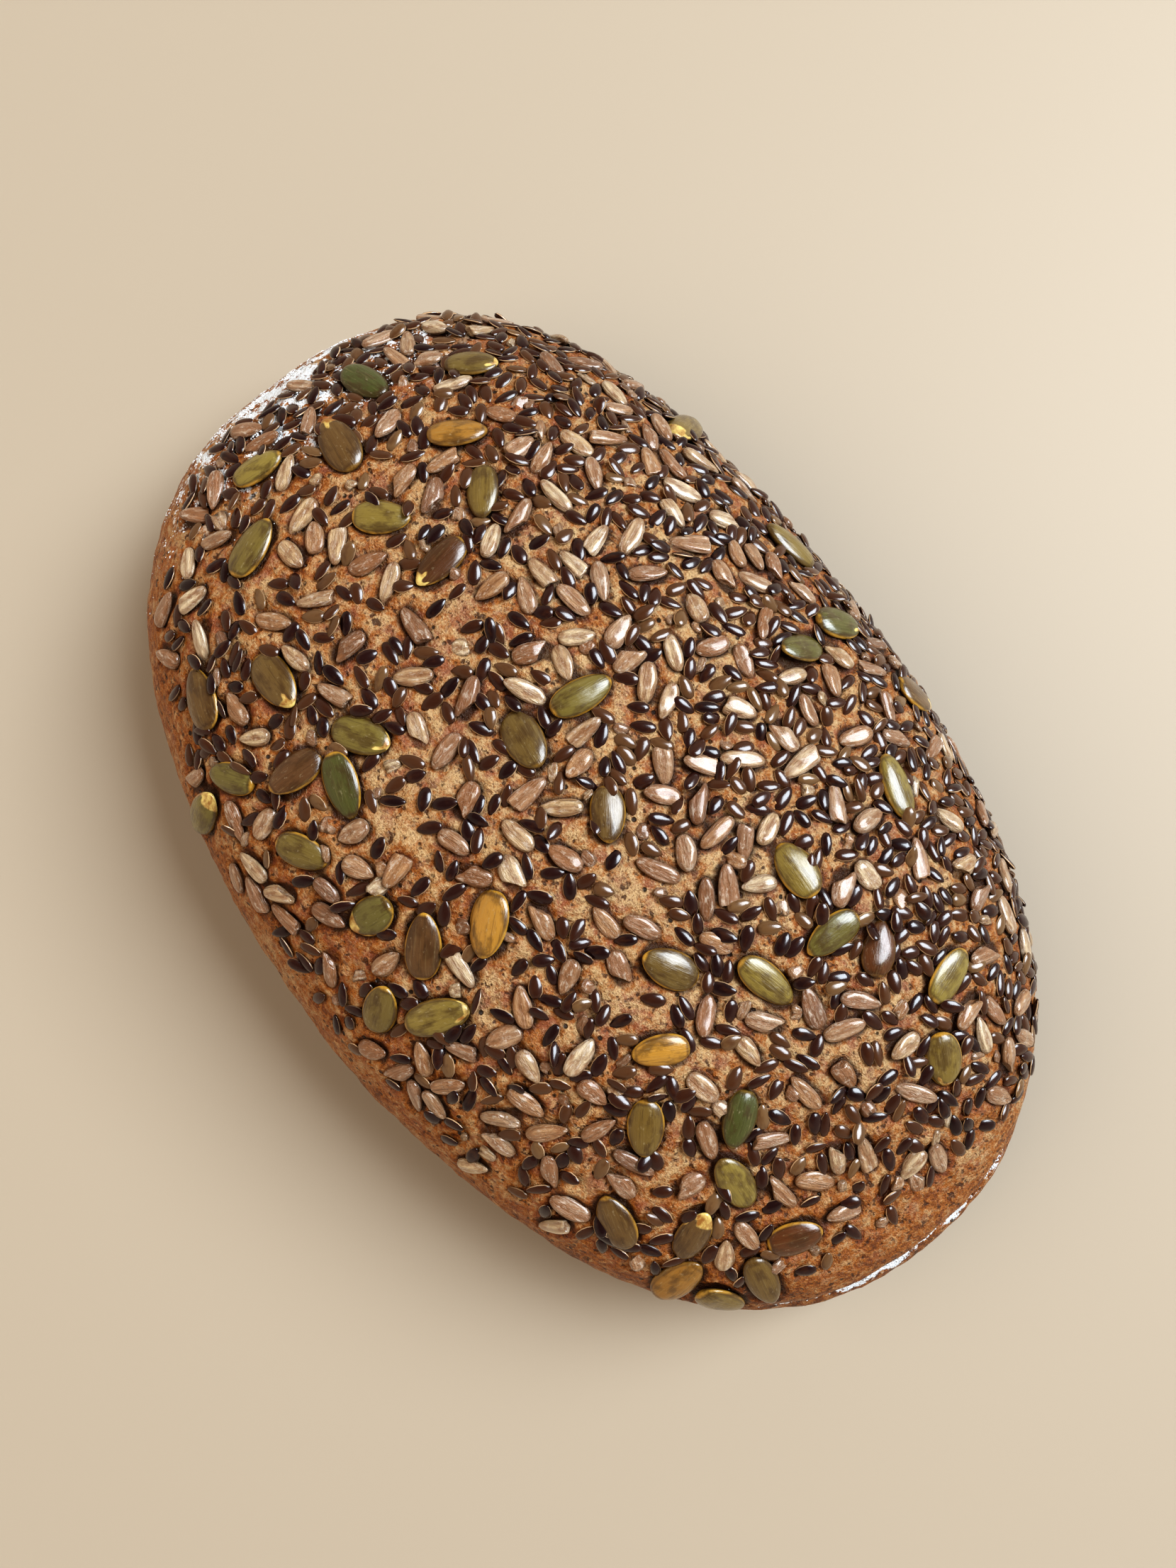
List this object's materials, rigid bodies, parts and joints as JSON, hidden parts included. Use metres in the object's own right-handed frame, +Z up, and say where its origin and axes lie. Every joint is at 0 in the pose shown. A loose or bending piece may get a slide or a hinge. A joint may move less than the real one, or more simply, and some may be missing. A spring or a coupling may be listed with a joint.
{
  "type": "seeded multigrain loaf",
  "caption": "Whole oval hearth loaf with a low domed brown crust, pressed all over the top with pumpkin kernels, sunflower kernels and linseeds, and flour on its ends.",
  "frame": {"origin": "on the underside, below the middle of the loaf's box", "axes": "+X along the loaf towards the end with the creased foot, +Y across it towards the flank seeded lowest, +Z up through the crown"},
  "size_m": [0.2465, 0.1563, 0.0642],
  "materials": {
    "crust": "dry baked wholegrain crust, rough",
    "pumpkin_kernel": "olive green to brown kernel, satin",
    "sunflower_kernel": "toasted beige kernel, satin",
    "linseed": "dark brown seed coat, glossy",
    "flour": "dry white flour, matte"
  },
  "bodies": {
    "root": {"loaf": "crust"}
  },
  "joints": []
}
